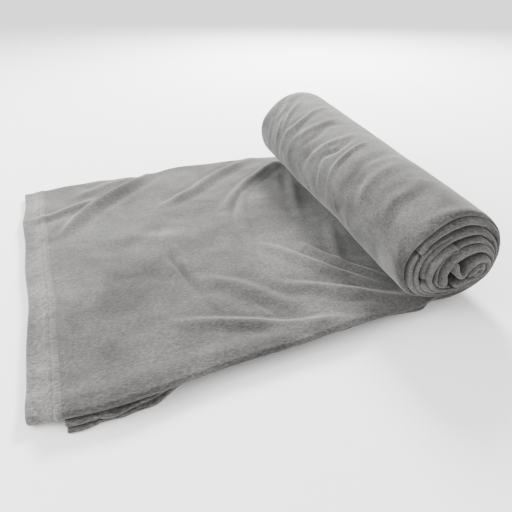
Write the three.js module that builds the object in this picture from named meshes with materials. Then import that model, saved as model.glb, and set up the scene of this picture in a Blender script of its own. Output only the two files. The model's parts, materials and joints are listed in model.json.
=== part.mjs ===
// A plush throw blanket, folded lengthwise into a strip of four layers and rolled up from one end.
// The other end still lies flat. Millimetres, +Z up, +X along the strip from the hem to the roll.
import * as THREE from 'three';

// Driving dimensions
const STRIP_WIDTH = 381;
const LEAF = 2.6;
const GAP = 0.35;
const LAYER = LEAF + GAP;
const LOWER_SET_BACK = 27;
const UPPER_SET_IN = 3;
const HEM_WIDTH = 27;

const ROLL_NEAR = { x: 338, y: -4, radius: 42.5 };
const ROLL_FAR = { x: 374, y: 346, radius: 51 };
const FULL_TURNS = 5;
const CORE_RADIUS = 5;
const CORE_HEM_HALF = 3.2;
const TELESCOPE = 2.4;
const TURN_STEPS = 40;

const STITCH_WIDTH = 0.9;
const STITCH_HEIGHT = 0.5;
const GROOVE_CLEARANCE = 0.3;
const STITCH_FROM_EDGE = 20;
const STITCH_END_SPARE = 1;

// Heights that follow from them
const STACK_HEIGHT = 3 * LAYER + LEAF;
const INNER_FOLD_RADIUS = GAP / 2 + LEAF;
const OUTER_FOLD_RADIUS = STACK_HEIGHT / 2;
const LEAF_OVERHANG = 30;

const strip = new THREE.Group();
const roll = new THREE.Group();

function cloth(hex) {
  return new THREE.MeshStandardMaterial({ color: hex, roughness: 0.95, metalness: 0 });
}

const PLUSH = 0x9c9a99;
const HEM_CLOTH = 0xa5a3a0;
const THREAD = 0xb4b2af;

function addPiece(group, name, geometry, colour) {
  const mesh = new THREE.Mesh(geometry, cloth(colour));
  mesh.name = name;
  group.add(mesh);
  return mesh;
}

function outline(points) {
  return new THREE.Shape(points.map(([x, y]) => new THREE.Vector2(x, y)));
}

// Where the leaves of the strip end under the roll, for a given place across the strip
function leafEnd(y) {
  const share = (y - ROLL_NEAR.y) / (ROLL_FAR.y - ROLL_NEAR.y);
  return ROLL_NEAR.x + share * (ROLL_FAR.x - ROLL_NEAR.x) + LEAF_OVERHANG;
}

// A section drawn in the plane across the strip (y, z), carried along X
function alongStrip(section, start, end) {
  const geometry = new THREE.ExtrudeGeometry(section, { depth: end - start, bevelEnabled: false, steps: 1 });
  geometry.applyMatrix4(new THREE.Matrix4().set(0, 0, 1, start, 1, 0, 0, 0, 0, 1, 0, 0, 0, 0, 0, 1));
  return geometry;
}

// A section drawn in the plane along the strip (x, z), carried across it
function acrossStrip(section, start, end) {
  const geometry = new THREE.ExtrudeGeometry(section, { depth: end - start, bevelEnabled: false, steps: 1 });
  geometry.applyMatrix4(new THREE.Matrix4().set(1, 0, 0, 0, 0, 0, -1, end, 0, 1, 0, 0, 0, 0, 0, 1));
  return geometry;
}

// A band of hem with the groove that its row of stitches pulls into the cloth
function hemSection(low, high, bottom, stitchAt) {
  const top = bottom + LEAF;
  const grooveHalf = STITCH_WIDTH / 2 + GROOVE_CLEARANCE;
  const grooveFloor = top - STITCH_HEIGHT - 2 * GROOVE_CLEARANCE;
  return outline([
    [low, bottom],
    [high, bottom],
    [high, top],
    [stitchAt + grooveHalf, top],
    [stitchAt + grooveHalf, grooveFloor],
    [stitchAt - grooveHalf, grooveFloor],
    [stitchAt - grooveHalf, top],
    [low, top],
  ]);
}

function stitchSection(bottom, stitchAt) {
  const low = bottom + LEAF - STITCH_HEIGHT - GROOVE_CLEARANCE;
  return outline([
    [stitchAt - STITCH_WIDTH / 2, low],
    [stitchAt + STITCH_WIDTH / 2, low],
    [stitchAt + STITCH_WIDTH / 2, low + STITCH_HEIGHT],
    [stitchAt - STITCH_WIDTH / 2, low + STITCH_HEIGHT],
  ]);
}

// Half a ring that closes two layers at a folded edge; side is +1 for the back edge and -1 for the near edge
function foldSection(edge, centreHeight, outer, inner, side) {
  const shape = new THREE.Shape();
  const quarter = Math.PI / 2;
  shape.absarc(edge, centreHeight, outer, -quarter, quarter, side < 0);
  shape.absarc(edge, centreHeight, inner, quarter, -quarter, side > 0);
  shape.closePath();
  return shape;
}

// The flat area of one layer, with its far end cut along the foot of the roll
function leafGeometry(start, low, high) {
  const shape = outline([[start, low], [leafEnd(low), low], [leafEnd(high), high], [start, high]]);
  return new THREE.ExtrudeGeometry(shape, { depth: LEAF, bevelEnabled: false, steps: 1 });
}

function buildStrip() {
  const backEdge = STRIP_WIDTH - OUTER_FOLD_RADIUS;
  const nearFoldEdge = UPPER_SET_IN + INNER_FOLD_RADIUS;
  for (let layer = 1; layer <= 4; layer++) {
    const bottom = (layer - 1) * LAYER;
    const lower = layer <= 2;
    const hemStart = lower ? LOWER_SET_BACK : 0;
    const nearEdge = lower ? 0 : nearFoldEdge;
    const bodyStart = hemStart + HEM_WIDTH + GAP;
    const bodyNear = lower ? HEM_WIDTH + GAP : nearEdge + GAP;
    const stitchAt = hemStart + STITCH_FROM_EDGE;
    const endHemSection = hemSection(hemStart, hemStart + HEM_WIDTH, bottom, stitchAt);
    const endHem = acrossStrip(endHemSection, nearEdge, backEdge - GAP);
    addPiece(strip, `end_hem_${layer}`, endHem, HEM_CLOTH);
    const endStitchEnd = backEdge - GAP - STITCH_END_SPARE;
    const endStitch = acrossStrip(stitchSection(bottom, stitchAt), nearEdge + STITCH_END_SPARE, endStitchEnd);
    addPiece(strip, `end_stitch_${layer}`, endStitch, THREAD);
    const leaf = leafGeometry(bodyStart, bodyNear, backEdge - GAP);
    leaf.translate(0, 0, bottom);
    addPiece(strip, `leaf_${layer}`, leaf, PLUSH);
    if (lower) {
      const sideEnd = leafEnd(0);
      const sideHem = alongStrip(hemSection(0, HEM_WIDTH, bottom, STITCH_FROM_EDGE), bodyStart, sideEnd);
      addPiece(strip, `side_hem_${layer}`, sideHem, HEM_CLOTH);
      const sideStitchStart = bodyStart + STITCH_END_SPARE;
      const sideStitchEnd = sideEnd - STITCH_END_SPARE;
      const sideStitch = alongStrip(stitchSection(bottom, STITCH_FROM_EDGE), sideStitchStart, sideStitchEnd);
      addPiece(strip, `side_stitch_${layer}`, sideStitch, THREAD);
    }
  }
  const nearFold = foldSection(nearFoldEdge, 3 * LAYER - GAP / 2, INNER_FOLD_RADIUS, GAP / 2, -1);
  addPiece(strip, 'near_fold', alongStrip(nearFold, 0, leafEnd(UPPER_SET_IN)), PLUSH);
  const innerFold = foldSection(backEdge, OUTER_FOLD_RADIUS, INNER_FOLD_RADIUS, GAP / 2, 1);
  addPiece(strip, 'back_fold_inner', alongStrip(innerFold, LOWER_SET_BACK, leafEnd(backEdge)), PLUSH);
  const outerFold = foldSection(backEdge, OUTER_FOLD_RADIUS, OUTER_FOLD_RADIUS, OUTER_FOLD_RADIUS - LEAF, 1);
  addPiece(strip, 'back_fold_outer', alongStrip(outerFold, LOWER_SET_BACK, leafEnd(backEdge)), PLUSH);
}

// The roll is worked out as a straight spiral of mean radius, then narrowed towards its near end
const MEAN_RADIUS = (ROLL_NEAR.radius + ROLL_FAR.radius) / 2;
const PITCH = (MEAN_RADIUS - CORE_RADIUS) / (FULL_TURNS + 1);
const UNDERSIDE_TURN = 0.45;
const UNDERSIDE_SHARE = 1 - UNDERSIDE_TURN * PITCH / MEAN_RADIUS;
const NEAR_CENTRE = rollCentre(ROLL_NEAR);
const FAR_CENTRE = rollCentre(ROLL_FAR);
const ROLL_AXIS = FAR_CENTRE.clone().sub(NEAR_CENTRE);
const ROLL_LENGTH = ROLL_AXIS.length();
const BAND_GAP = 1.15 * GAP;
const TONGUE_START = -Math.PI / 16;
const TONGUE_END = Math.PI / 2;
const FULL_CIRCLE = 2 * Math.PI;
const START_ANGLE = -1.3;

// The roll stands on the strip with the radius that its underside has there
function rollCentre(end) {
  return new THREE.Vector3(end.x, end.y, STACK_HEIGHT + GAP + end.radius * UNDERSIDE_SHARE);
}

// The roll's section is seen from its far end, so +X of the strip points the other way there
function rollOutline(points) {
  return outline(points.map(([x, z]) => [-x, z]));
}

function onCircle(radius, angle) {
  return [radius * Math.cos(angle), radius * Math.sin(angle)];
}

// Outer radius of the wound strip after it has turned through an angle
function spiralRadius(angle) {
  return MEAN_RADIUS - PITCH * angle / FULL_CIRCLE;
}

// One full turn of the wound strip; the outermost one starts as a thin tongue
function turnShape(turn) {
  const first = (turn - 1) * FULL_CIRCLE;
  const trim = BAND_GAP / spiralRadius(first + FULL_CIRCLE);
  const outer = [];
  const inner = [];
  for (let step = 0; step <= TURN_STEPS; step++) {
    const angle = first + (FULL_CIRCLE - trim) * step / TURN_STEPS;
    const inside = spiralRadius(angle) - PITCH + BAND_GAP;
    const tongue = THREE.MathUtils.smoothstep(angle, TONGUE_START, TONGUE_END);
    const outside = turn === 1 ? inside + (PITCH - BAND_GAP) * tongue : spiralRadius(angle);
    outer.push(onCircle(outside, START_ANGLE + angle));
    inner.push(onCircle(inside, START_ANGLE + angle));
  }
  return rollOutline([...outer, ...inner.reverse()]);
}

// Carries a section of the roll from its near end to its far end, and narrows it like the roll
function alongRoll(shape, nearEnd) {
  const depth = ROLL_LENGTH - nearEnd;
  const geometry = new THREE.ExtrudeGeometry(shape, { depth, bevelEnabled: false, steps: 1 });
  geometry.translate(0, 0, nearEnd);
  const place = geometry.attributes.position;
  for (let index = 0; index < place.count; index++) {
    const share = place.getZ(index) / ROLL_LENGTH;
    const radius = ROLL_NEAR.radius + (ROLL_FAR.radius - ROLL_NEAR.radius) * share;
    place.setX(index, place.getX(index) * radius / MEAN_RADIUS);
    place.setY(index, place.getY(index) * radius / MEAN_RADIUS);
  }
  return geometry;
}

// The axis of the roll, as a turn of the section's plane: local Z runs from the near end to the far end
function rollPlacement() {
  const along = ROLL_AXIS.clone().normalize();
  const across = new THREE.Vector3().crossVectors(new THREE.Vector3(0, 0, 1), along).normalize();
  const up = new THREE.Vector3().crossVectors(along, across);
  return new THREE.Matrix4().makeBasis(across, up, along).setPosition(NEAR_CENTRE);
}

function buildRoll() {
  for (let turn = 1; turn <= FULL_TURNS; turn++) {
    const nearEnd = -TELESCOPE * (turn - 1);
    addPiece(roll, turn === 1 ? 'outer_turn' : `turn_${turn}`, alongRoll(turnShape(turn), nearEnd), PLUSH);
  }
  const coreEnd = -TELESCOPE * FULL_TURNS;
  const coreSection = hemSection(-CORE_HEM_HALF, CORE_HEM_HALF, -LEAF / 2, 0);
  addPiece(roll, 'core_hem', alongRoll(coreSection, coreEnd), HEM_CLOTH);
  addPiece(roll, 'core_stitch', alongRoll(stitchSection(-LEAF / 2, 0), coreEnd + STITCH_END_SPARE), THREAD);
  roll.applyMatrix4(rollPlacement());
}

// The cloth that leaves the strip and climbs the roll: a wedge between the strip and the roll's right side
const FOOT_CLEARANCE = 0.5;
const FOOT_TOP_ANGLE = -0.12;
const FOOT_LOW_ANGLE = -1.05;
const FOOT_STEPS = 10;
const FOOT_BULGE = 3;
const FOOT_UPPER_DROP = 0.35;
const FOOT_MIDDLE_DROP = 0.6;
const FOOT_LOWER_DROP = 0.8;

function footGeometry() {
  const radius = MEAN_RADIUS + FOOT_CLEARANCE;
  const floor = FOOT_CLEARANCE - MEAN_RADIUS * UNDERSIDE_SHARE;
  const hug = [];
  for (let step = 0; step <= FOOT_STEPS; step++) {
    const angle = FOOT_LOW_ANGLE + (FOOT_TOP_ANGLE - FOOT_LOW_ANGLE) * step / FOOT_STEPS;
    hug.push(onCircle(radius, angle));
  }
  const back = [
    [radius + FOOT_BULGE, -FOOT_UPPER_DROP * radius],
    [radius + FOOT_BULGE, -FOOT_MIDDLE_DROP * radius],
    [radius, -FOOT_LOWER_DROP * radius],
    [radius - 2 * FOOT_BULGE, floor],
    [hug[0][0], floor],
  ];
  return alongRoll(rollOutline([...hug, ...back]), 0);
}

buildStrip();
buildRoll();
const foot = addPiece(strip, 'lead_in', footGeometry(), PLUSH);
foot.applyMatrix4(rollPlacement());

const blanket = new THREE.Group();
blanket.add(strip);
blanket.add(roll);

// The frame's origin is under the middle of the whole blanket, on the surface that it lies on
blanket.updateMatrixWorld(true);
const span = new THREE.Box3().setFromObject(blanket, true);
const middle = span.getCenter(new THREE.Vector3());
blanket.position.set(-middle.x, -middle.y, -span.min.z);

export default blanket;
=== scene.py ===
import json
import math
from collections import namedtuple

import bpy
import numpy as np
from mathutils import Matrix, Vector


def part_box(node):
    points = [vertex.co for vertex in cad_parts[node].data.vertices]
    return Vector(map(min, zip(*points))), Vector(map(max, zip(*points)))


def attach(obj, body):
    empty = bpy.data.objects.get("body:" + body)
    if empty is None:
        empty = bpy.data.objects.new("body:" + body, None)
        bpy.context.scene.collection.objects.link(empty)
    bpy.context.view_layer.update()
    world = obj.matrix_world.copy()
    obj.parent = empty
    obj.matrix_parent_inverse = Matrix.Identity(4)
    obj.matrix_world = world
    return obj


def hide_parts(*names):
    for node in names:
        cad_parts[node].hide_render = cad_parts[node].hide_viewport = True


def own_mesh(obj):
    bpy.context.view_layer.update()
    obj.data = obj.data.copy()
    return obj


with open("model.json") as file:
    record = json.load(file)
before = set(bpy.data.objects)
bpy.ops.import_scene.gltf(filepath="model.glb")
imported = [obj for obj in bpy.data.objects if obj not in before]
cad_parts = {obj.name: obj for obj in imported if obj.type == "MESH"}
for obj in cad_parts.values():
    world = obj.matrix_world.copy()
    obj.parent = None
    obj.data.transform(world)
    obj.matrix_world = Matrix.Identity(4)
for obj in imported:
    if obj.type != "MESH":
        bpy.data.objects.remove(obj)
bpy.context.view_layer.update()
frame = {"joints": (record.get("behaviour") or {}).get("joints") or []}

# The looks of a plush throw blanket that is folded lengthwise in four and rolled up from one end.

MM = 0.001

# The strip, read from the frame. A point of it is (along, across, up): along from the flat hemmed end, across
# from the near edge, up from the surface that the blanket lies on.
HEM_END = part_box("end_hem_4")[0].x
NEAR_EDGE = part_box("side_hem_1")[0].y
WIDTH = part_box("back_fold_outer")[1].y - NEAR_EDGE
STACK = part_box("leaf_4")[1].z
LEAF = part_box("leaf_1")[1].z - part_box("leaf_1")[0].z
SET_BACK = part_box("end_hem_1")[0].x - HEM_END
HEM_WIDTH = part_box("end_hem_4")[1].x - HEM_END
STITCH_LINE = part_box("end_stitch_4")[0].x - HEM_END
LAYER = (STACK - LEAF) / 3
CLOTH_HALF = LEAF / 2

# The roll, read from the frame's joints: its axis runs from the near end to the far end
TURN = next(joint for joint in frame["joints"] if joint["name"] == "roll_turn")
AXIS = -np.array(TURN["axis"])
NEAR_CENTRE = np.array(TURN["pos_m"])
ROLL_LENGTH = (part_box("outer_turn")[1].y - NEAR_CENTRE[1]) / AXIS[1]
FAR_CENTRE = NEAR_CENTRE + AXIS * ROLL_LENGTH


def strip_point(points):
    """Points of the strip, as points of the row frame."""
    return np.asarray(points, float) + np.array([HEM_END, NEAR_EDGE, 0.0])


def foot_along(across):
    """How far along the strip the roll's axis passes over it."""
    share = (across + NEAR_EDGE - NEAR_CENTRE[1]) / (FAR_CENTRE[1] - NEAR_CENTRE[1])
    return NEAR_CENTRE[0] + share * (FAR_CENTRE[0] - NEAR_CENTRE[0]) - HEM_END


# ---------------------------------------------------------------- camera, light and floor

# The camera looks at a point of the strip, given like its distance as shares of the strip's width
AIM_ALONG = 0.5807
AIM_ACROSS = 0.3659
CAMERA_DISTANCE = 1.265
AZIMUTH = math.radians(-22.5)
ELEVATION = math.radians(32.2)
CAMERA_ROLL = math.radians(-0.65)
FOCAL_LENGTH = 32.7
SENSOR_WIDTH = 36.0

# Each light: where it stands, where it points and how wide it is, in metres, its power in watts, its colour
KEY_LIGHT = ((0.75, 1.15, 0.95), (0.0, 0.0, 0.0), 0.5, 80.0, (1.0, 0.99, 0.975))
FILL_LIGHT = ((-1.3, 0.35, 0.65), (0.0, 0.0, 0.05), 1.0, 42.0, (0.98, 0.99, 1.0))
WORLD_STRENGTH = 1.7
FLOOR_HALF = 3.0
FLOOR_COLOUR = (0.98, 0.98, 0.98, 1.0)


def make_camera():
    target = Vector(strip_point([AIM_ALONG * WIDTH, AIM_ACROSS * WIDTH, 0.0]))
    back = Vector((
        math.sin(AZIMUTH) * math.cos(ELEVATION),
        -math.cos(AZIMUTH) * math.cos(ELEVATION),
        math.sin(ELEVATION),
    ))
    data = bpy.data.cameras.new("camera")
    data.lens = FOCAL_LENGTH
    data.sensor_width = SENSOR_WIDTH
    data.clip_start = 0.01
    camera = bpy.data.objects.new("camera", data)
    bpy.context.scene.collection.objects.link(camera)
    place = Matrix.Translation(target + back * CAMERA_DISTANCE * WIDTH)
    turn = (-back).to_track_quat("-Z", "Y").to_matrix().to_4x4()
    camera.matrix_world = place @ turn @ Matrix.Rotation(CAMERA_ROLL, 4, "Z")
    bpy.context.scene.camera = camera


def add_area_light(name, place, aim, size, power, colour):
    data = bpy.data.lights.new(name, "AREA")
    data.shape = "DISK"
    data.size = size
    data.energy = power
    data.color = colour
    lamp = bpy.data.objects.new(name, data)
    bpy.context.scene.collection.objects.link(lamp)
    lamp.location = place
    lamp.rotation_euler = (Vector(aim) - Vector(place)).to_track_quat("-Z", "Y").to_euler()


def make_floor():
    mesh = bpy.data.meshes.new("floor")
    corners = [(x * FLOOR_HALF, y * FLOOR_HALF, 0) for x, y in ((-1, -1), (1, -1), (1, 1), (-1, 1))]
    mesh.from_pydata(corners, [], [(0, 1, 2, 3)])
    floor = bpy.data.objects.new("floor", mesh)
    bpy.context.scene.collection.objects.link(floor)
    material = bpy.data.materials.new("pale_floor")
    material.use_nodes = True
    shader = material.node_tree.nodes["Principled BSDF"]
    shader.inputs["Base Color"].default_value = FLOOR_COLOUR
    shader.inputs["Roughness"].default_value = 0.9
    mesh.materials.append(material)


def make_studio():
    world = bpy.data.worlds.new("studio")
    world.use_nodes = True
    background = world.node_tree.nodes["Background"]
    background.inputs["Color"].default_value = (1.0, 1.0, 1.0, 1.0)
    background.inputs["Strength"].default_value = WORLD_STRENGTH
    bpy.context.scene.world = world
    add_area_light("key", *KEY_LIGHT)
    add_area_light("fill", *FILL_LIGHT)
    make_floor()


# ---------------------------------------------------------------- smooth curves, noise and wrinkles

NOISE_TABLE = 64
NOISE_START = (31.7, 17.3)
SPAN_STEPS = 24
RIDGE_STEPS = 40

# The shape of a wrinkle: its crest, how it fades towards its ends, and the valley on either side of it, as
# shares of its height and width
CREST_POWER = 1.8
END_FADE_POWER = 0.7
VALLEY_DEPTH = 0.22
VALLEY_PLACE = 1.9
VALLEY_WIDTH = 0.8


def smooth_step(low, high, value):
    """0 up to low and 1 from high on, with a smooth rise between. It falls where low is above high."""
    t = np.clip((np.asarray(value) - low) / (high - low), 0.0, 1.0)
    return t * t * (3 - 2 * t)


def bell(value, middle, spread):
    """A smooth bump that is 1 at middle and has faded to nothing about twice spread away."""
    return np.exp(-((value - middle) / spread) ** 2)


def bells(value, table):
    """The sum of several bells, each given as (size, middle, spread)."""
    return sum(size * bell(value, middle, spread) for size, middle, spread in table)


def lattice_noise(x, y, size, seed):
    """Smooth noise from -1 to 1 whose bumps are about size metres apart."""
    rng = np.random.default_rng(seed)
    table = rng.uniform(-1.0, 1.0, (NOISE_TABLE, NOISE_TABLE))
    x, y = np.asarray(x) / size + NOISE_START[0], np.asarray(y) / size + NOISE_START[1]
    column, row = np.floor(x).astype(int), np.floor(y).astype(int)
    fx, fy = x - column, y - row
    fx, fy = fx * fx * (3 - 2 * fx), fy * fy * (3 - 2 * fy)

    def at(dx, dy):
        return table[(column + dx) % NOISE_TABLE, (row + dy) % NOISE_TABLE]

    low = at(0, 0) * (1 - fx) + at(1, 0) * fx
    high = at(0, 1) * (1 - fx) + at(1, 1) * fx
    return low * (1 - fy) + high * fy


def smooth_line(points, samples):
    """A Catmull-Rom curve through the points, evenly sampled. Columns after x and y are carried along."""
    points = np.asarray(points, float)
    last = len(points) - 1
    fine = []
    for span in range(last):
        a, b, c, d = (points[min(max(pick, 0), last)] for pick in range(span - 1, span + 3))
        for t in np.linspace(0, 1, SPAN_STEPS, endpoint=False):
            square = (2 * a - 5 * b + 4 * c - d) * t**2
            cube = (3 * b - a - 3 * c + d) * t**3
            fine.append(0.5 * (2 * b + (c - a) * t + square + cube))
    fine.append(points[-1])
    fine = np.array(fine)
    step = np.linalg.norm(np.diff(fine[:, :2], axis=0), axis=1)
    run = np.concatenate([[0], np.cumsum(step)])
    want = np.linspace(0, run[-1], samples)
    return np.stack([np.interp(want, run, fine[:, k]) for k in range(fine.shape[1])], axis=1)


def ridge_height(x, y, line, height, width, right_width=None):
    """Height of one wrinkle along a line, over points x, y. It fades at both ends and has a shallow valley on
    either side. right_width is its width on the side to the right of the line, where that differs."""
    path = smooth_line(line, RIDGE_STEPS)
    best = np.full(np.shape(x), np.inf)
    side = np.zeros(np.shape(x))
    along = np.zeros(np.shape(x))
    for index in range(len(path) - 1):
        a, b = path[index], path[index + 1]
        ab = b - a
        t = np.clip(((x - a[0]) * ab[0] + (y - a[1]) * ab[1]) / (ab @ ab), 0, 1)
        dx, dy = x - a[0] - t * ab[0], y - a[1] - t * ab[1]
        distance = np.hypot(dx, dy)
        nearer = distance < best
        best = np.where(nearer, distance, best)
        side = np.where(nearer, ab[0] * dy - ab[1] * dx, side)
        along = np.where(nearer, (index + t) / (len(path) - 1), along)
    spread = np.where(side < 0, right_width or width, width)
    fade = np.sin(np.pi * np.clip(along, 0.0, 1.0)) ** END_FADE_POWER
    crest = np.exp(-(best / spread) ** CREST_POWER)
    valley = VALLEY_DEPTH * bell(best, VALLEY_PLACE * spread, VALLEY_WIDTH * spread)
    return height * fade * (crest - valley)


# ---------------------------------------------------------------- meshes

# The rim of a sheet rounds off over these angles, in degrees
RIM_ANGLES = (30, 60, 90)
TINY = 1e-12


def new_piece(name, vertices, faces, material):
    mesh = bpy.data.meshes.new(name)
    mesh.from_pydata([tuple(v) for v in vertices], [], faces)
    mesh.validate()
    mesh.polygons.foreach_set("use_smooth", [True] * len(mesh.polygons))
    piece = bpy.data.objects.new(name, mesh)
    bpy.context.scene.collection.objects.link(piece)
    mesh.materials.append(material)
    return piece


def unit(vectors, axis):
    return vectors / np.maximum(np.linalg.norm(vectors, axis=axis, keepdims=True), TINY)


def grid_normals(centre):
    along = np.gradient(centre, axis=0)
    across = np.gradient(centre, axis=1)
    return unit(np.cross(along, across), 2)


def extend(centre, half, axis):
    """Adds rows past both ends of a sheet's middle surface, where its thickness rounds off to nothing."""
    centre, half = np.moveaxis(centre, axis, 0), np.moveaxis(half, axis, 0)
    shares = [math.sin(math.radians(angle)) for angle in RIM_ANGLES]
    for _ in range(2):
        out = unit(centre[0] - centre[1], 1)
        edge, rim = centre[0], half[0]
        for share in shares:
            centre = np.concatenate([[edge + out * rim[:, None] * share], centre])
            half = np.concatenate([[rim * math.sqrt(max(0.0, 1 - share * share))], half])
        centre, half = centre[::-1], half[::-1]
    return np.moveaxis(centre, 0, axis), np.moveaxis(half, 0, axis)


def thick_sheet(name, centre, half, material):
    """A closed sheet of cloth with rounded rims, from its middle surface and half its thickness there."""
    normal = grid_normals(centre)
    for axis in (0, 1):
        centre, half = extend(centre, half, axis)
        pad = [(0, 0)] * 3
        pad[axis] = (len(RIM_ANGLES), len(RIM_ANGLES))
        normal = np.pad(normal, pad, mode="edge")
    rows, columns = half.shape
    top = centre + normal * half[..., None]
    bottom = centre - normal * half[..., None]
    index = np.arange(rows * columns).reshape(rows, columns)
    under = index.copy()
    inner = np.zeros((rows, columns), bool)
    inner[1:-1, 1:-1] = True
    under[inner] = rows * columns + np.arange(inner.sum())
    vertices = np.concatenate([top.reshape(-1, 3), bottom[inner]])
    faces = []
    for i in range(rows - 1):
        for j in range(columns - 1):
            faces.append((index[i, j], index[i + 1, j], index[i + 1, j + 1], index[i, j + 1]))
            faces.append((under[i, j], under[i, j + 1], under[i + 1, j + 1], under[i + 1, j]))
    return new_piece(name, vertices, faces, material)


# ---------------------------------------------------------------- materials

# Colours of the cloth where the nap lies darkest and lightest
PLUSH_DARK = (0.030, 0.0283, 0.0279)
PLUSH_LIGHT = (0.172, 0.1695, 0.166)
HEM_DARK = (0.042, 0.0398, 0.0386)
HEM_LIGHT = (0.222, 0.217, 0.209)
SHEEN_TINT = (0.95, 0.95, 0.93, 1.0)
BUMP_STRENGTH = 0.4
PLUSH_BUMP = 1.2 * MM
THREAD_BUMP = 0.2 * MM

# Noise scales of the plush, from patches of nap a few centimetres across down to single fibres
BROAD_SCALE = 12.0
PATCH_SCALE = 38.0
DASH_SCALE = 420.0
TUFT_SCALE = 620.0
FUZZ_SCALE = 1700.0

# How much each of them changes the shade, and the shade of the middle of the ramp
BROAD_SHADE = 0.36
PATCH_SHADE = 0.44
TUFT_SHADE = 0.38
FUZZ_SHADE = 0.4
FROST_SHADE = 4.2
MIDDLE_SHADE = 0.165

THREAD_DARK = (0.30, 0.29, 0.28)
THREAD_LIGHT = (0.44, 0.43, 0.41)
TWIST_SCALE = 900.0


def add_node(tree, kind, **values):
    node = tree.nodes.new(kind)
    for name, value in values.items():
        if name in node.inputs:
            node.inputs[name].default_value = value
        else:
            setattr(node, name, value)
    return node


def noise_layer(tree, vector, scale, detail, roughness, distortion=0.0):
    node = add_node(tree, "ShaderNodeTexNoise", Scale=scale, Detail=detail, Roughness=roughness,
                    Distortion=distortion)
    tree.links.new(vector, node.inputs["Vector"])
    return node.outputs["Fac"]


def stretched(tree, vector, scale, turn=0.0, place=(0.0, 0.0, 0.0)):
    """Texture space turned about the upright axis and scaled, so that its pattern is drawn out one way."""
    node = add_node(tree, "ShaderNodeMapping")
    node.inputs["Scale"].default_value = scale
    node.inputs["Rotation"].default_value = (0.0, 0.0, turn)
    node.inputs["Location"].default_value = place
    tree.links.new(vector, node.inputs["Vector"])
    return node.outputs["Vector"]


def math_node(tree, operation, a, b):
    node = add_node(tree, "ShaderNodeMath", operation=operation)
    for socket, value in zip(node.inputs, (a, b)):
        if isinstance(value, (int, float)):
            socket.default_value = value
        else:
            tree.links.new(value, socket)
    return node.outputs[0]


def weighted_sum(tree, layers):
    """The sum of (value - 0.5) times weight over the layers."""
    total = None
    for value, weight in layers:
        part = math_node(tree, "MULTIPLY", math_node(tree, "SUBTRACT", value, 0.5), weight)
        total = part if total is None else math_node(tree, "ADD", total, part)
    return total


def colour_ramp(tree, value, dark, light, shader):
    ramp = add_node(tree, "ShaderNodeValToRGB")
    ramp.color_ramp.elements[0].color = (*dark, 1.0)
    ramp.color_ramp.elements[1].color = (*light, 1.0)
    tree.links.new(value, ramp.inputs["Fac"])
    tree.links.new(ramp.outputs["Color"], shader.inputs["Base Color"])


def add_bump(tree, height, distance, shader):
    bump = add_node(tree, "ShaderNodeBump", Strength=BUMP_STRENGTH, Distance=distance)
    tree.links.new(height, bump.inputs["Height"])
    tree.links.new(bump.outputs["Normal"], shader.inputs["Normal"])


def plush_material(name, dark, light, patch=1.0, pile=1.0, dashes=0.0, painted_highlight_shift=(0.0, 0.0, 0.0)):
    """Short brushed pile: the nap lies different ways in patches, so it shows lighter and darker, with a fine
    fuzz. patch, pile and dashes say how strong the patches, the fuzz and the short strokes across it are.
    The last argument moves the whole pattern: on the roll it is set so that a light patch lies where light
    falls on the rim, a painted highlight."""
    material = bpy.data.materials.new(name)
    material.use_nodes = True
    tree = material.node_tree
    shader = tree.nodes["Principled BSDF"]
    place = add_node(tree, "ShaderNodeTexCoord").outputs["Object"]
    # moving the pattern places its light and dark patches; on the roll this puts a painted highlight on the
    # lit rim
    where = stretched(tree, place, (1.0, 1.0, 1.0), place=painted_highlight_shift)
    brushed = stretched(tree, where, (0.7, 1.0, 1.0))
    streaks = stretched(tree, where, (0.55, 1.25, 1.0), math.radians(35))
    broad = noise_layer(tree, where, BROAD_SCALE, 2.0, 0.5, 0.3)
    patches = noise_layer(tree, brushed, PATCH_SCALE, 4.0, 0.55, 0.5)
    tufts = noise_layer(tree, streaks, TUFT_SCALE, 3.0, 0.65)
    fuzz = noise_layer(tree, where, FUZZ_SCALE, 2.0, 0.6)
    dash = noise_layer(tree, stretched(tree, where, (0.3, 1.5, 1.0)), DASH_SCALE, 2.0, 0.5)

    flecks = math_node(tree, "POWER", tufts, 3.0)
    frost = math_node(tree, "MULTIPLY", flecks, math_node(tree, "MULTIPLY", broad, patches))
    frost = math_node(tree, "MULTIPLY", frost, FROST_SHADE * pile)
    shade = weighted_sum(tree, [(broad, BROAD_SHADE * patch), (patches, PATCH_SHADE * patch),
                                (tufts, TUFT_SHADE * pile), (fuzz, FUZZ_SHADE * pile), (dash, dashes)])
    shade = math_node(tree, "ADD", math_node(tree, "ADD", shade, frost), MIDDLE_SHADE)
    colour_ramp(tree, shade, dark, light, shader)

    rough = math_node(tree, "ADD", math_node(tree, "MULTIPLY", patches, 0.2), 0.78)
    tree.links.new(rough, shader.inputs["Roughness"])
    height = weighted_sum(tree, [(patches, 0.8), (tufts, 0.25 * pile), (fuzz, 0.3 * pile), (dash, dashes)])
    add_bump(tree, height, PLUSH_BUMP, shader)
    shader.inputs["Specular IOR Level"].default_value = 0.15
    shader.inputs["Sheen Weight"].default_value = 0.3
    shader.inputs["Sheen Roughness"].default_value = 0.4
    shader.inputs["Sheen Tint"].default_value = SHEEN_TINT
    return material


def thread_material():
    """Pale sewing thread with a fine twist."""
    material = bpy.data.materials.new("thread")
    material.use_nodes = True
    tree = material.node_tree
    shader = tree.nodes["Principled BSDF"]
    twist = add_node(tree, "ShaderNodeTexWave", Scale=TWIST_SCALE, Distortion=1.5)
    tree.links.new(add_node(tree, "ShaderNodeTexCoord").outputs["Object"], twist.inputs["Vector"])
    colour_ramp(tree, twist.outputs["Fac"], THREAD_DARK, THREAD_LIGHT, shader)
    add_bump(tree, twist.outputs["Fac"], THREAD_BUMP, shader)
    shader.inputs["Roughness"].default_value = 0.7
    return material


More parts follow.
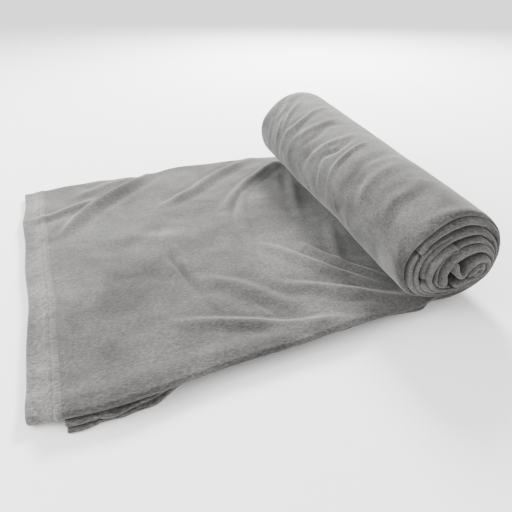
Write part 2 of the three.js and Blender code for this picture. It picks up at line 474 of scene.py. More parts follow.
PLUSH = plush_material("plush", PLUSH_DARK, PLUSH_LIGHT)
# On the roll the patches are stronger, and the pattern is moved so that a light patch lies on the top-left of
# the lip at the near end, where light falls on it: a painted highlight.
ROLL_PLUSH_PAINTED_HIGHLIGHT = plush_material("roll_plush_painted_highlight", PLUSH_DARK, PLUSH_LIGHT, patch=1.7, painted_highlight_shift=(0.0, 0.27, 0.1))
HEM_PLUSH = plush_material("hem", HEM_DARK, HEM_LIGHT, pile=1.3, dashes=0.45)
THREAD = thread_material()


# ---------------------------------------------------------------- the strip that lies flat

# Wrinkles of the strip's top: (height, width, width on the right-hand side, line), in millimetres. Each line
# is drawn as (along, across) points, and they fan out from the two ends of the roll's foot.
WRINKLES = [
    (7.2, 8, 5.5, [(168, 378), (132, 345), (100, 318), (67, 284), (38, 240)]),
    (3.0, 6, 6, [(-6, 294), (30, 292), (62, 307), (98, 322)]),
    (5.2, 7, 5.5, [(318, 372), (270, 348), (237, 326), (197, 292), (150, 266)]),
    (5.5, 7, 5, [(346, 352), (302, 314), (263, 282), (216, 228)]),
    (2.8, 3, 6, [(262, 268), (238, 222), (227, 187), (218, 151), (212, 118)]),
    (-2.0, 3, 3.5, [(338, 341), (297, 304), (264, 274), (243, 251), (227, 221), (215, 186), (209, 154),
                    (211, 132)]),
    (3.6, 5, 5, [(340, 320), (318, 250), (300, 205), (290, 165)]),
    (-2.6, 6, 6, [(346, 340), (326, 290), (308, 245)]),
    (-1.9, 2.5, 3.5, [(138, 233), (136, 203), (134, 170), (136, 140), (142, 97), (151, 49)]),
    (1.6, 5, 2.5, [(146, 215), (141, 165), (145, 120), (153, 80)]),
    (3.4, 5, 7, [(222, 144), (236, 127), (250, 100), (272, 62), (306, 24)]),
    (3.0, 4, 6, [(262, 128), (272, 100), (290, 66), (318, 30)]),
    (2.6, 6, 8, [(150, 106), (166, 94), (182, 79), (204, 50), (222, 30)]),
    (3.2, 5, 7, [(208, 74), (232, 58), (262, 36), (322, 2)]),
    (3.4, 4.5, 6, [(108, 55), (140, 42), (172, 29), (206, 13), (262, -4)]),
    (2.0, 6, 7, [(176, 12), (214, 0), (262, -10), (310, -12)]),
    (-1.0, 2.5, 3, [(141, 76), (147, 60), (152, 40)]),
    (-1.0, 2.5, 3, [(184, 60), (191, 42), (198, 24)]),
    (2.2, 8, 8, [(70, 20), (60, 80), (72, 150), (62, 210)]),
    (1.4, 10, 10, [(90, 240), (120, 200), (180, 180)]),
    (2.6, 5, 5, [(318, 160), (296, 110), (280, 70)]),
    (2.0, 6, 6, [(60, 330), (96, 352), (140, 372)]),
]
SWELL = 1.6 * MM
SWELL_SIZE = 60 * MM
RIPPLE = 0.7 * MM
RIPPLE_SIZE = 22 * MM
DEEPEST_CREASE = -1.2 * MM
DEEPEST_LAYER_DIP = -1.0 * MM

# The stack is pressed down beside the roll: from how far before the roll's foot to how far, and by what share
# of its height, with more of it near the near edge
PRESS_START = 90 * MM
PRESS_END = 15 * MM
PRESS = 0.12
NEAR_PRESS = 0.16
PRESS_REACH = 40 * MM

# How the edges bow in and out: each bell is (size, middle, spread), in millimetres
UPPER_EDGE = -3.0
UPPER_EDGE_BELLS = [(-8, 68, 50), (-3, 190, 70)]
LOWER_EDGE = -7.5
LOWER_EDGE_BELLS = [(-4, 48, 30)]
BACK_EDGE_BELLS = [(4, 205, 22), (-6, 158, 16)]
HEM_END_BELLS = [(2.2, 120, 60), (-1.6, 300, 35)]

# How each layer of the strip starts, how high it lies and how much of the top's wrinkles it takes part in
LAYER_START = {1: SET_BACK, 2: SET_BACK, 3: 0.0, 4: 0.0}
LAYER_LEVEL = {layer: CLOTH_HALF + LAYER * (layer - 1) for layer in (1, 2, 3, 4)}
LAYER_LIFT = {1: 0.0, 2: 0.4, 3: 0.75, 4: 1.0}

# The folds of the strip: how far in from its edges the layers turn round, and how the near one swells
FOLD_SETBACK = STACK / 2
NEAR_FOLD_SETBACK = 3.5 * MM
NEAR_FOLD_BULGE = 2.2 * MM
NEAR_PUFF = 2.0 * MM
PUFF_REACH = 9 * MM

# How far the strip's cloth runs on past the line under the roll's axis, and how far it laps over the hem
STRIP_OVERRUN = 4 * MM
SEAM_LAP = 2 * MM

# At the flat end the upper pair reaches past the lower pair, so it droops: how far down, and how far that
# draws it in along and across the strip, as shares of the droop. The bow of its end fades out over BOW_REACH.
DROOP = 2 * LAYER
DROOP_ALONG = 0.6
DROOP_ACROSS = 1.3
BOW_REACH = 70 * MM

# The hems: half the thickness of the cloth in them, how they slope off at their inner edge, and the groove
# and the puckers that the stitches pull into them
END_HEM_HALF = 0.85 * CLOTH_HALF
END_HEM_BULGE = 0.75 * MM
SIDE_HEM_HALF = 0.9 * CLOTH_HALF + 0.25 * MM
HEM_SLOPE = 5 * MM
HEM_STEP = 1.3 * MM
HEM_LAP = 4 * MM
GROOVE_DEPTH = 0.75 * MM
GROOVE_WIDTH = 1.1 * MM
SIDE_GROOVE = 0.6
PUCKER = 0.3 * MM
PUCKER_SIZE = 4 * MM

# How finely the cloth is divided: rows along the strip, columns across it and steps round its folds
STRIP_ROWS = 160
HEM_ROWS = 22
SIDE_HEM_ROWS = 120
SIDE_HEM_COLUMNS = 16
OUTER_FOLD_STEPS = 11
NEAR_FOLD_STEPS = 9
INNER_FOLD_STEPS = 5


def wrinkle_height(along, across):
    """How far the strip's top stands above a flat one."""
    total = SWELL * lattice_noise(along, across, SWELL_SIZE, 3)
    total = total + RIPPLE * lattice_noise(along, across, RIPPLE_SIZE, 4)
    total = total + SWELL
    for height, width, right_width, line in WRINKLES:
        points = np.array(line) * MM
        total = total + ridge_height(along, across, points, height * MM, width * MM, right_width * MM)
    pressed = smooth_step(foot_along(across) - 6 * MM, foot_along(across) - 45 * MM, along)
    return np.maximum(total, DEEPEST_CREASE) * pressed


def roll_pull(along):
    """The near edges are drawn in, in millimetres, where the strip goes under the roll."""
    return 6 * smooth_step(foot_along(0.0) - 33 * MM, foot_along(0.0) + 7 * MM, along)


def upper_near_edge(along):
    return MM * (UPPER_EDGE + bells(along / MM, UPPER_EDGE_BELLS) + roll_pull(along))


def lower_near_edge(along, layer):
    """The free edges of the lower pair wave a little, and stand out past the upper pair near the flat end."""
    u = along / MM
    wave = 1.1 * np.sin(u / 8.5 + 2 * layer) + 0.5 * np.sin(u / 3.7 + layer)
    wave = wave * (1 - 0.7 * smooth_step(80, 130, u))
    run = 13 * smooth_step(82, 120, u) - 7 * smooth_step(285, 325, u) + roll_pull(along)
    return MM * (LOWER_EDGE + 1.5 * (layer - 1) + bells(u, LOWER_EDGE_BELLS) + wave + run)


def back_edge(along):
    u = along / MM
    drawn_in = 1.0 + 8 * smooth_step(270, 350, u)
    return WIDTH + MM * (bells(u, BACK_EDGE_BELLS) - drawn_in + 1.5 * np.sin(u / 26))


def hem_bow(across):
    """The flat end isn't quite straight."""
    v = across / MM
    return MM * (bells(v, HEM_END_BELLS) + 0.5 * np.sin(v / 17))


def compression(along, across):
    """How much of its height the stack keeps: it is pressed down beside the roll, mostly at the near edge."""
    beside = smooth_step(foot_along(across) - PRESS_START, foot_along(across) - PRESS_END, along)
    return 1 - beside * (PRESS + NEAR_PRESS * bell(across, 0.0, PRESS_REACH))


def layer_points(layer, away, across_share, low_trim=0.0):
    """Points of one layer's middle surface. away is the distance from that layer's hemmed end, and
    across_share runs from its near edge to its back edge. low_trim sets the lower pair's near edge in."""
    along = LAYER_START[layer] + away
    along = along + hem_bow(across_share * WIDTH) * (1 - smooth_step(0, BOW_REACH, along))
    if layer > 2:
        near = upper_near_edge(along) + NEAR_FOLD_SETBACK
    else:
        near = lower_near_edge(along, layer) + low_trim
    back = back_edge(along) - FOLD_SETBACK
    across = near + across_share * (back - near)
    lift = wrinkle_height(along, across) * LAYER_LIFT[layer]
    up = LAYER_LEVEL[layer] + np.maximum(lift, DEEPEST_LAYER_DIP)
    if layer > 2:
        droop = DROOP * (1 - smooth_step(5 * MM, 27 * MM, along))
        puff = NEAR_PUFF * bell(across - near, PUFF_REACH, PUFF_REACH)
        up = up - droop + puff * (layer - 2) / 2
        along, across = along + DROOP_ALONG * droop, across + DROOP_ACROSS * droop
    up = up * compression(along, across)
    if layer == 4:
        up = up + HEM_STEP * (1 - smooth_step(20 * MM, 28 * MM, along))
    return np.stack(np.broadcast_arrays(along, across, up), axis=2)


def fold_points(first, second, bulge, steps):
    """Half an ellipse of cloth that joins the edge column of one layer to that of another."""
    middle = (first + second) / 2
    columns = []
    for angle in np.linspace(0, math.pi, steps + 2)[1:-1]:
        column = middle + (first - middle) * math.cos(angle)
        column[:, 0] = second[:, 0] + (first[:, 0] - second[:, 0]) * ((1 + math.cos(angle)) / 2) ** 4
        column = column + np.array([0.0, bulge, 0.0]) * math.sin(angle)
        columns.append(column)
    return np.stack(columns, axis=1)


def strip_surface(rows_of, fine, coarse, low_trim=0.0):
    """The middle surface of the four layers as one cloth: leaf 1 (bottom), the outer back fold, leaf 4 (top),
    the near fold, leaf 3, the inner back fold and leaf 2. rows_of(layer, across_share) gives each row's
    distance from the layer's end. fine is how many columns the top has, and coarse how many each other
    layer has."""
    forward = np.linspace(0, 1, coarse)[None, :]
    back = np.linspace(1, 0, coarse)[None, :]
    top_share = np.linspace(1, 0, fine)[None, :]
    leaf_1 = layer_points(1, rows_of(1, forward), forward, low_trim)
    leaf_4 = layer_points(4, rows_of(4, top_share), top_share)
    leaf_3 = layer_points(3, rows_of(3, forward), forward)
    leaf_2 = layer_points(2, rows_of(2, back), back, low_trim)
    outer = fold_points(leaf_1[:, -1], leaf_4[:, 0], FOLD_SETBACK - CLOTH_HALF, OUTER_FOLD_STEPS)
    near = fold_points(leaf_4[:, -1], leaf_3[:, 0], -NEAR_FOLD_BULGE, NEAR_FOLD_STEPS)
    inner = fold_points(leaf_3[:, -1], leaf_2[:, 0], LAYER / 2, INNER_FOLD_STEPS)
    return np.concatenate([leaf_1, outer, leaf_4, near, leaf_3, inner, leaf_2], axis=1)


def stitch_groove(distance):
    """How much thinner the cloth is where the stitches pull it in."""
    return GROOVE_DEPTH * bell(distance, 0.0, GROOVE_WIDTH)


def stitch_row(rows):
    """The row of a hem's grid that its stitches lie on."""
    return round(STITCH_LINE / HEM_WIDTH * (rows - 1))


def make_strip_cloth():
    start = STITCH_LINE - SEAM_LAP

    def rows_of(layer, across_share):
        end = foot_along(across_share * WIDTH) + STRIP_OVERRUN - LAYER_START[layer]
        return start + np.linspace(0, 1, STRIP_ROWS)[:, None] * (end - start)

    centre = strip_surface(rows_of, fine=217, coarse=16, low_trim=start)
    half = CLOTH_HALF * compression(centre[..., 0], centre[..., 1])
    cloth = thick_sheet("laid_cloth", strip_point(centre), half, PLUSH)
    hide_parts("leaf_1", "leaf_2", "leaf_3", "leaf_4",
                "near_fold", "back_fold_inner", "back_fold_outer")
    return cloth


def make_end_hem():
    away = np.linspace(0, HEM_WIDTH, HEM_ROWS)[:, None]

    def rows_of(layer, across_share):
        return away + 0 * across_share

    centre = strip_surface(rows_of, fine=260, coarse=60)
    bulge = END_HEM_BULGE * (1 - smooth_step(HEM_WIDTH - HEM_SLOPE, HEM_WIDTH, away))
    pucker = PUCKER * lattice_noise(centre[..., 0], centre[..., 1], PUCKER_SIZE, 21)
    pucker = pucker * bell(away, STITCH_LINE - 4 * MM, 7 * MM)
    half = END_HEM_HALF + bulge - stitch_groove(away - STITCH_LINE) + pucker
    half = np.minimum(half, centre[..., 2])
    hem = thick_sheet("end_hem", strip_point(centre), half, HEM_PLUSH)
    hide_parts("end_hem_1", "end_hem_2", "end_hem_3", "end_hem_4")
    return hem, centre


def make_side_hem(layer):
    start = HEM_WIDTH - HEM_LAP
    end = foot_along(0.0) - STRIP_OVERRUN - SET_BACK
    away = np.linspace(start, end, SIDE_HEM_ROWS)[:, None]
    inward = np.linspace(0, HEM_WIDTH, SIDE_HEM_COLUMNS)[None, :]
    along = SET_BACK + away + 0 * inward
    across = lower_near_edge(along, layer) + inward + 4 * MM * smooth_step(end - 16 * MM, end, away)
    pressed = compression(along, across)
    centre = np.stack([along, across, LAYER_LEVEL[layer] * pressed], axis=2)
    half = SIDE_HEM_HALF - SIDE_GROOVE * stitch_groove(inward - STITCH_LINE)
    half = half * pressed * (1 - 0.5 * smooth_step(HEM_WIDTH - HEM_SLOPE, HEM_WIDTH, inward))
    hem = thick_sheet(f"side_hem_cloth_{layer}", strip_point(centre), half, HEM_PLUSH)
    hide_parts(f"side_hem_{layer}")
    return hem, centre


# ---------------------------------------------------------------- stitches

STITCH_LENGTH = 2.6 * MM
STITCH_PITCH = 3.4 * MM
STITCH_RADIUS = 0.45 * MM
STITCH_DIP = 0.35 * MM
STITCH_FLATNESS = 0.8
STITCH_RINGS = 7
STITCH_SIDES = 6
LOOK_AHEAD = 0.3 * MM


def along_path(where, run, values):
    return np.array([np.interp(where, run, values[:, k]) for k in range(3)])


def stitch_rings(middle, run, path, normals):
    """The points of one stitch, ring by ring. It dips into the cloth at both ends."""
    points = []
    for share in np.linspace(-1, 1, STITCH_RINGS):
        where = middle + share * STITCH_LENGTH / 2
        point = along_path(where, run, path)
        ahead = along_path(where + LOOK_AHEAD, run, path) - point
        ahead = ahead / np.linalg.norm(ahead)
        out = along_path(where, run, normals)
        side = np.cross(ahead, out)
        thickness = STITCH_RADIUS * math.sqrt(max(0.02, 1 - share * share))
        point = point - out * STITCH_DIP * share * share
        for corner in range(STITCH_SIDES):
            angle = 2 * math.pi * corner / STITCH_SIDES
            round_it = math.cos(angle) * side + STITCH_FLATNESS * math.sin(angle) * out
            points.append(point + thickness * round_it)
    return points


def stitch_faces(base):
    faces = []
    for ring in range(STITCH_RINGS - 1):
        start = base + ring * STITCH_SIDES
        for corner in range(STITCH_SIDES):
            a, b = start + corner, start + (corner + 1) % STITCH_SIDES
            faces.append((a, b, b + STITCH_SIDES, a + STITCH_SIDES))
    last = base + (STITCH_RINGS - 1) * STITCH_SIDES
    faces.append(tuple(base + corner for corner in reversed(range(STITCH_SIDES))))
    faces.append(tuple(last + corner for corner in range(STITCH_SIDES)))
    return faces


def make_stitches(name, path, normals, replaced):
    """A row of lockstitches along a path: each is a short capsule."""
    step = np.linalg.norm(np.diff(path, axis=0), axis=1)
    run = np.concatenate([[0], np.cumsum(step)])
    vertices, faces = [], []
    for middle in np.arange(STITCH_PITCH, run[-1] - STITCH_PITCH, STITCH_PITCH):
        faces.extend(stitch_faces(len(vertices)))
        vertices.extend(stitch_rings(middle, run, path, normals))
    thread = new_piece(name, vertices, faces, THREAD)
    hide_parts(*replaced)
    return thread


def stitches_on_hem(name, centre, row, lift, replaced):
    out = grid_normals(centre)[row]
    return make_stitches(name, strip_point(centre[row] + out * lift), out, replaced)


# ---------------------------------------------------------------- the roll

# Sections of the roll's outer surface, in millimetres from its own axis. Its weight flattens it a little.
Section = namedtuple("Section", "x z half_width half_height")
NEAR_SECTION = Section(x=-3.0, z=1.0, half_width=48.0, half_height=40.5)
FAR_SECTION = Section(x=-1.0, z=0.5, half_width=55.0, half_height=47.0)
GROWTH = FAR_SECTION.half_height / NEAR_SECTION.half_height - 1
ARC_RADIUS = NEAR_SECTION.half_width * MM
SIDEWAYS = np.array([AXIS[1], -AXIS[0], 0.0]) / math.hypot(AXIS[0], AXIS[1])
UPWARD = np.cross(SIDEWAYS, AXIS)

# How far a rounded lip reaches out, as a share of the thickness of its band, and how finely it is divided
LIP_DEPTH = 0.9
LIP_STEPS = 9
BAND_STEPS = 24


def roll_point(x, z, distance):
    """A point of the roll, from its place in the section and its distance along the axis, in metres."""
    x, z, distance = np.broadcast_arrays(x, z, distance)
    return NEAR_CENTRE + x[..., None] * SIDEWAYS + z[..., None] * UPWARD + distance[..., None] * AXIS


def roll_share(distance):
    return np.clip(distance / ROLL_LENGTH, -0.1, 1.1)


def section_at(distance):
    share = roll_share(distance)
    return [MM * (near + share * (far - near)) for near, far in zip(NEAR_SECTION, FAR_SECTION)]


# Creases that run round the outside of the roll: (height in mm, width in mm, line), where each line is drawn
# as (angle in degrees, distance from the near end in mm). Angle 0 is the right side and 90 the top.
ROLL_CREASES = [
    (2.6, 3.5, [(72, 284), (95, 274), (116, 264), (134, 262), (152, 268), (174, 268), (202, 278)]),
    (2.0, 3.0, [(96, 326), (112, 306), (137, 290), (158, 276)]),
    (1.7, 3.0, [(132, 306), (150, 294), (169, 288), (192, 287)]),
    (1.7, 3.0, [(146, 326), (165, 314), (187, 318), (208, 324)]),
    (1.6, 4.0, [(80, 338), (104, 338), (127, 316), (149, 312)]),
    (-2.4, 3.5, [(96, 174), (114, 167), (127, 166), (145, 176), (164, 170), (186, 166)]),
    (2.2, 3.0, [(86, 158), (108, 152), (124, 148), (143, 146), (161, 142), (178, 138)]),
    (1.8, 4.0, [(88, 184), (110, 181), (130, 186), (160, 192), (188, 197)]),
    (1.5, 5.0, [(82, 240), (110, 233), (135, 238), (160, 246), (190, 240)]),
    (-1.4, 5.0, [(80, 214), (105, 222), (130, 214), (160, 226)]),
    (1.4, 6.0, [(78, 100), (98, 94), (116, 90), (140, 84), (168, 72)]),
    (1.4, 6.0, [(82, 62), (109, 50), (128, 48), (150, 42)]),
    (-1.3, 6.0, [(70, 128), (95, 120), (118, 116), (140, 108)]),
    (1.5, 4.0, [(172, 216), (184, 206), (196, 192), (212, 188)]),
    (1.3, 4.0, [(176, 128), (190, 112), (205, 100)]),
]


def roll_relief(angle, distance):
    """How far the outer surface stands out from its plain section. angle is in radians."""
    turned = np.mod(angle, 2 * math.pi)
    around = turned * ARC_RADIUS
    total = 1.3 * MM * lattice_noise(around * 0.7, distance, 50 * MM, 11)
    total = total + 0.55 * MM * lattice_noise(around, distance, 22 * MM, 12)
    total = total * np.sin(turned / 2) ** 0.5
    for height, width, line in ROLL_CREASES:
        points = np.array([(math.radians(degrees) * ARC_RADIUS, place * MM) for degrees, place in line])
        total = total + ridge_height(around, distance, points, height * MM, width * MM)
    return total


def band_faces(rows, columns, closed):
    """Quads of a grid whose columns close into a ring, and whose rows do too where closed is true."""
    faces = []
    for i in range(rows if closed else rows - 1):
        for j in range(columns):
            a, b = i * columns + j, i * columns + (j + 1) % columns
            c, d = (i + 1) % rows * columns + (j + 1) % columns, (i + 1) % rows * columns + j
            faces.append((a, b, c, d))
    if not closed:
        faces.append(tuple(range(columns)))
        faces.append(tuple(reversed(range((rows - 1) * columns, rows * columns))))
    return faces


def roll_band(name, outer_side, inner_side, near_end, far_end, thickness, material, closed=False,
              steps=BAND_STEPS):
    """A band of the roll with a rounded lip at each end. outer_side and inner_side give points of the band's
    two faces for a distance along the roll, and near_end and far_end are where its two lips are, at each row
    of the band. closed says that the band goes all the way round."""
    depth = thickness * LIP_DEPTH
    start, end = near_end + depth, far_end - depth
    shares = np.linspace(0, 1, steps) ** 1.6
    lip = [math.radians(angle) for angle in np.linspace(-90, 90, LIP_STEPS)[1:-1]]

    def lip_column(distance, angle, direction):
        outer, inner = outer_side(distance), inner_side(distance)
        middle, reach = (outer + inner) / 2, (outer - inner) / 2
        return middle + reach * math.sin(angle) + direction * (depth * math.cos(angle))[:, None] * AXIS

    columns = [outer_side(start + share * (end - start)) for share in shares]
    columns += [lip_column(end, angle, 1) for angle in reversed(lip)]
    columns += [inner_side(start + share * (end - start)) for share in shares[::-1]]
    columns += [lip_column(start, angle, -1) for angle in lip]
    grid = np.stack(columns, axis=1)
    rows, width = grid.shape[:2]
    return new_piece(name, grid.reshape(-1, 3), band_faces(rows, width, closed), material)


# The outer turn is thick at the top and left, and pulled thin at the right and underneath. Its thickness, how
# far it bulges out or sinks in at the near end, and the bead of its lip there are bells of (millimetres,
# degrees, degrees).
OUTER_THICKNESS = 2.4
OUTER_THICKNESS_BELLS = [(9.6, 147, 48), (1.2, 60, 30)]
OUTER_SAG_BELLS = [(2.8, 224, 22), (-2.0, 40, 18)]
OUTER_BEAD_BELLS = [(1.6, 120, 60)]
OUTER_TURN_ROWS = 200
OUTER_TURN_STEPS = 150


def make_outer_turn():
    angle = np.linspace(0, 2 * math.pi, OUTER_TURN_ROWS, endpoint=False)
    degrees = np.degrees(angle)
    wave = MM * (0.8 * np.sin(2 * angle + 0.6) + 0.5 * np.sin(5 * angle))
    thickness = MM * (OUTER_THICKNESS + bells(degrees, OUTER_THICKNESS_BELLS))
    rim = MM * bells(degrees, OUTER_BEAD_BELLS)
    sag = MM * bells(degrees, OUTER_SAG_BELLS)

    def outer_side(distance):
        x, z, half_width, half_height = section_at(distance)
        bead = rim * bell(distance, 4 * MM, 6 * MM) - 1.2 * MM * np.exp(-distance / (3 * MM))
        swell = roll_relief(angle, distance) + sag * np.exp(-distance / (60 * MM)) + bead
        across, up = half_width + swell, half_height + swell
        return roll_point(x + across * np.cos(angle), z + up * np.sin(angle), distance)

    def inner_side(distance):
        x, z, half_width, half_height = section_at(distance)
        across, up = half_width - thickness, half_height - thickness
        return roll_point(x + across * np.cos(angle), z + up * np.sin(angle), distance)

    near_end = 0.5 * MM + wave
    far_end = ROLL_LENGTH - 2 * MM + wave
    turn = roll_band("outer_turn_cloth", outer_side, inner_side, near_end, far_end, thickness, ROLL_PLUSH_PAINTED_HIGHLIGHT,
                     closed=True, steps=OUTER_TURN_STEPS)
    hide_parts("outer_turn")
    return turn


# The wound turns as they show at the near end: each point is (x, z, half thickness), in millimetres from the
# roll's axis, along the middle of one turn of folded cloth. The first number of each is how far its lip
# stands out at the near end.
WOUND_TURNS = {
    "turn_2": (2.5, [(-36, 10.4, 1.5), (-33.4, 15, 2.4), (-29.4, 20.4, 3.5), (-19, 26.8, 4.3),
                     (-5.1, 31.2, 4.5), (8.5, 32, 4.4), (24.3, 26.3, 3.0), (37, 14.5, 1.9), (41.6, 0, 1.7),
                     (40.8, -10, 1.5),
                     (37, -19, 1.2), (29, -27, 1.1), (15, -33, 1.1), (-2, -35, 1.2), (-17, -33.6, 1.6),
                     (-29, -28.5, 2.2), (-36.3, -20.5, 2.5), (-39.8, -11, 2.6), (-40.4, -2, 2.5),
                     (-38.6, 5, 2.3), (-36, 10, 1.8)]),
    "turn_3": (4.5, [(-27.4, -14, 2.0), (-29.2, -9.5, 3.2), (-30.2, -4, 3.5), (-27.7, 3.3, 3.6),
                     (-21.5, 11.4, 3.6), (-11.6, 19.2, 3.5), (0, 22.8, 3.3), (11, 23.5, 3.2), (20, 21, 3.0),
                     (29.5, 14.5, 2.2), (35.6, 5.4, 1.7), (37.4, -3, 1.4), (36.8, -12, 1.2), (32, -21.5, 1.1),
                     (21, -28.7, 1.0), (6, -32.3, 1.0), (-8, -32.2, 1.2), (-20, -29.8, 1.8),
                     (-30, -23.5, 2.4), (-35, -13.8, 2.4), (-36, -5.5, 2.0), (-34.6, 2.5, 1.7),
                     (-31.5, 9, 1.6), (-27, 14.7, 1.5),
                     (-20, 19.9, 1.4), (-10, 24.4, 1.1)]),
    "turn_4": (6.5, [(-4.2, 9.6, 1.6), (-3.4, 12.6, 2.0), (0, 15, 2.1), (4.5, 16, 2.0), (11, 16.6, 2.3),
                     (18, 15.2, 2.3), (25, 11.4, 1.9), (30.8, 5.2, 1.5), (33.8, -3, 1.3), (33.6, -11, 1.1),
                     (29.5, -19, 1.0), (20, -25.6, 1.0), (7, -29.3, 1.0), (-8, -29.6, 1.2), (-20, -26.5, 2.2),
                     (-28, -19.8, 3.2), (-29.6, -15, 2.8)]),
    "turn_5": (8.5, [(-7.6, -24.6, 4.4), (-10.2, -18.6, 5.6), (-11.9, -12.8, 5.7), (-10.9, -7.6, 5.2),
                     (-8, -1.9, 5.1), (-2.8, 3.1, 5.0), (3.6, 6.9, 4.7), (10.6, 9.2, 4.1), (18, 9.2, 3.4),
                     (24.8, 6, 2.4), (29.6, 0.4, 1.6), (31.2, -7, 1.2), (29, -14.5, 1.0), (21, -21.5, 1.0),
                     (9, -25.7, 1.0), (-5, -27.2, 1.1), (-16.5, -24.8, 2.0), (-23, -18.5, 2.6),
                     (-25.6, -11.2, 2.7), (-25.3, -3.4, 2.6), (-22.3, 3.8, 2.3), (-17.4, 9.9, 2.0),
                     (-11.4, 13.8, 1.7), (-6.5, 15, 1.1)]),
    "inner_fold": (7.5, [(-3, -24.8, 1.0), (-11, -23.2, 1.2), (-17.6, -18.4, 1.4), (-20.3, -11, 1.4),
                         (-19.8, -4, 1.3), (-17, 3, 1.2), (-11.8, 8.2, 1.1), (-5, 11.4, 0.9)]),
    "core": (12.0, [(-5, 0.6, 1.5), (-3.9, -6, 1.8), (-0.6, -11.6, 2.0), (3.6, -12.4, 2.4), (6.6, -8.2, 2.8),
                    (9.9, -3.9, 3.1), (14.4, -0.8, 3.2), (19.9, 0.3, 3.3), (25, -2.2, 3.0), (27.2, -7, 2.5),
                    (25.4, -11.4, 2.0), (19.9, -14.8, 2.1), (13.4, -17, 2.4), (5, -19.4, 2.6),
                    (-3.5, -21.5, 2.0)]),
    "core_curl": (12.5, [(8.2, -14, 1.2), (11.8, -9.8, 1.9), (16, -7, 2.9), (20.6, -6.3, 3.4),
                         (21.5, -8.8, 3.0), (17.5, -11.6, 1.9), (12.6, -13.4, 1.2)]),
}
WOUND_TURN_ROWS = 150

# The CAD solid that each of them stands for. The inner fold and the curl of the core have none of their own.
WOUND_NODES = {
    "turn_2": "turn_2",
    "turn_3": "turn_3",
    "turn_4": "turn_4",
    "turn_5": "turn_5",
    "core": "core_hem",
}


def make_wound_turn(name):
    reach, points = WOUND_TURNS[name]
    line = smooth_line(points, WOUND_TURN_ROWS) * MM
    ahead = np.gradient(line[:, :2], axis=0)
    ahead = ahead / np.linalg.norm(ahead, axis=1, keepdims=True)
    outward = np.stack([-ahead[:, 1], ahead[:, 0]], axis=1)
    length = float(np.linalg.norm(np.diff(line[:, :2], axis=0), axis=1).sum())

    # both tips of the band are rounded, and set back from its lip
    along = np.linspace(0, 1, WOUND_TURN_ROWS)
    full_half = line[:, 2]
    from_tip = np.minimum(along, 1 - along) * length / full_half
    roundness = np.sqrt(np.clip(1 - (1 - np.clip(from_tip, 0, 1)) ** 2, 0.01, 1))
    recess = 2 * LIP_DEPTH * full_half * (1 - roundness)
    half = full_half * roundness
    seed = sum(ord(letter) for letter in name)
    wave = MM * (0.7 * np.sin(9 * along + seed) + 0.4 * np.sin(23 * along + 2 * seed))

    def side(sign):
        def points_at(distance):
            grow = 1 + roll_share(distance) * GROWTH
            x = (line[:, 0] + sign * half * outward[:, 0]) * grow
            z = (line[:, 1] + sign * half * outward[:, 1]) * grow
            return roll_point(x, z, distance)
        return points_at

    near_end = -reach * MM + wave + recess
    far_end = ROLL_LENGTH - reach * 0.8 * MM + wave - recess
    turn = roll_band(name + "_cloth", side(1), side(-1), near_end, far_end, 2 * half, PLUSH)
    if name in WOUND_NODES:
        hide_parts(WOUND_NODES[name])
    return turn


def make_core_stitches():
    """The seam of the hem at the heart of the roll, on the outside of the core."""
    distance = np.linspace(-6 * MM, ROLL_LENGTH - 20 * MM, 60)
    path = roll_point(17 * MM, 3.2 * MM, distance)
    normals = np.repeat(UPWARD[None, :], len(distance), axis=0)
    return make_stitches("core_stitches", path, normals, ["core_stitch"])


# The cloth that leaves the strip under the roll and climbs its right side, in two pairs of layers. Each has
# its gap from the roll, half its thickness and how far its near end is set in, in millimetres. It runs from
# LEAD_START to LEAD_END, in degrees round the roll, and LEAD_SET_IN sets its near end in further, by angle.
LEAD_INS = {"lead_in_outer": (8.4, 2.1, 1.0), "lead_in_inner": (3.7, 2.1, 2.5)}
LEAD_START = -108
LEAD_END = 8
LEAD_ROWS = 60
LEAD_STEPS = 40
LEAD_SET_IN = {-108: 13, -95: 6.5, -80: 4.5, -60: 3, -30: 2, 8: 1}
LOWEST_CLOTH = 0.4 * MM


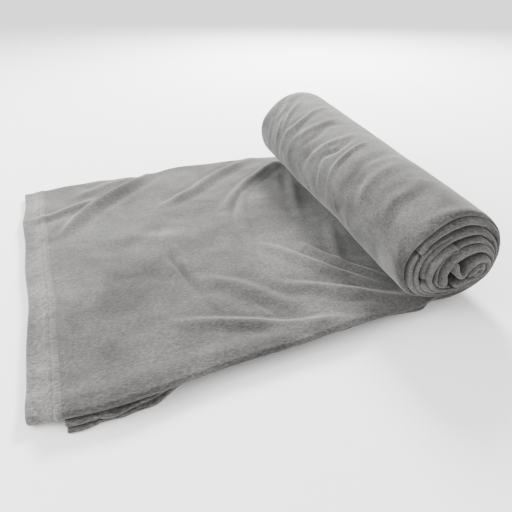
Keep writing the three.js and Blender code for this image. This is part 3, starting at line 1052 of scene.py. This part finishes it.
def make_lead_in(name):
    gap, half, inset = LEAD_INS[name]
    angle = np.radians(np.linspace(LEAD_START, LEAD_END, LEAD_ROWS))
    degrees = np.degrees(angle)
    fade = 1 - smooth_step(-50, 8, degrees) * 0.92
    thick = half * MM * fade
    off = (gap * fade + 0.4 - 2.2 * smooth_step(-22, 6, degrees)) * MM

    def side(sign):
        def points_at(distance):
            x, z, half_width, half_height = section_at(distance)
            out = off + sign * thick
            across, up = half_width + out, half_height + out
            point = roll_point(x + across * np.cos(angle), z + up * np.sin(angle), distance)
            point[:, 2] = np.maximum(point[:, 2], LOWEST_CLOTH)
            return point
        return points_at

    near_end = MM * (inset + np.interp(degrees, list(LEAD_SET_IN), list(LEAD_SET_IN.values())))
    far_end = np.full(LEAD_ROWS, ROLL_LENGTH - 3 * MM)
    piece = roll_band(name, side(1), side(-1), near_end, far_end, 2 * thick, PLUSH, steps=LEAD_STEPS)
    return piece


# ---------------------------------------------------------------- the whole scene

def make_strip_pieces():
    pieces = [make_strip_cloth()]
    end_hem, centre = make_end_hem()
    replaced = [f"end_stitch_{layer}" for layer in (1, 2, 3, 4)]
    pieces.append(end_hem)
    pieces.append(stitches_on_hem("end_stitches", centre, stitch_row(HEM_ROWS), 1.0 * MM, replaced))
    for layer in (1, 2):
        side_hem, centre = make_side_hem(layer)
        # the grid is turned round, so that its rows run along the hem and its normals point up
        turned = np.swapaxes(centre, 0, 1)[::-1]
        row = SIDE_HEM_COLUMNS - 1 - stitch_row(SIDE_HEM_COLUMNS)
        replaced = [f"side_stitch_{layer}"]
        pieces.append(side_hem)
        pieces.append(stitches_on_hem(f"side_stitches_{layer}", turned, row, 0.9 * MM, replaced))
    return pieces


make_camera()
make_studio()
strip_pieces = make_strip_pieces()
roll_pieces = [make_outer_turn()] + [make_wound_turn(name) for name in WOUND_TURNS] + [make_core_stitches()]
lead_pieces = [make_lead_in(name) for name in LEAD_INS]
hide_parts("lead_in")

for piece in strip_pieces:
    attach(piece, "laid_strip")
    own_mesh(piece)
for piece in roll_pieces:
    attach(piece, "wound_roll")
for piece in lead_pieces:
    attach(piece, "roll_foot")
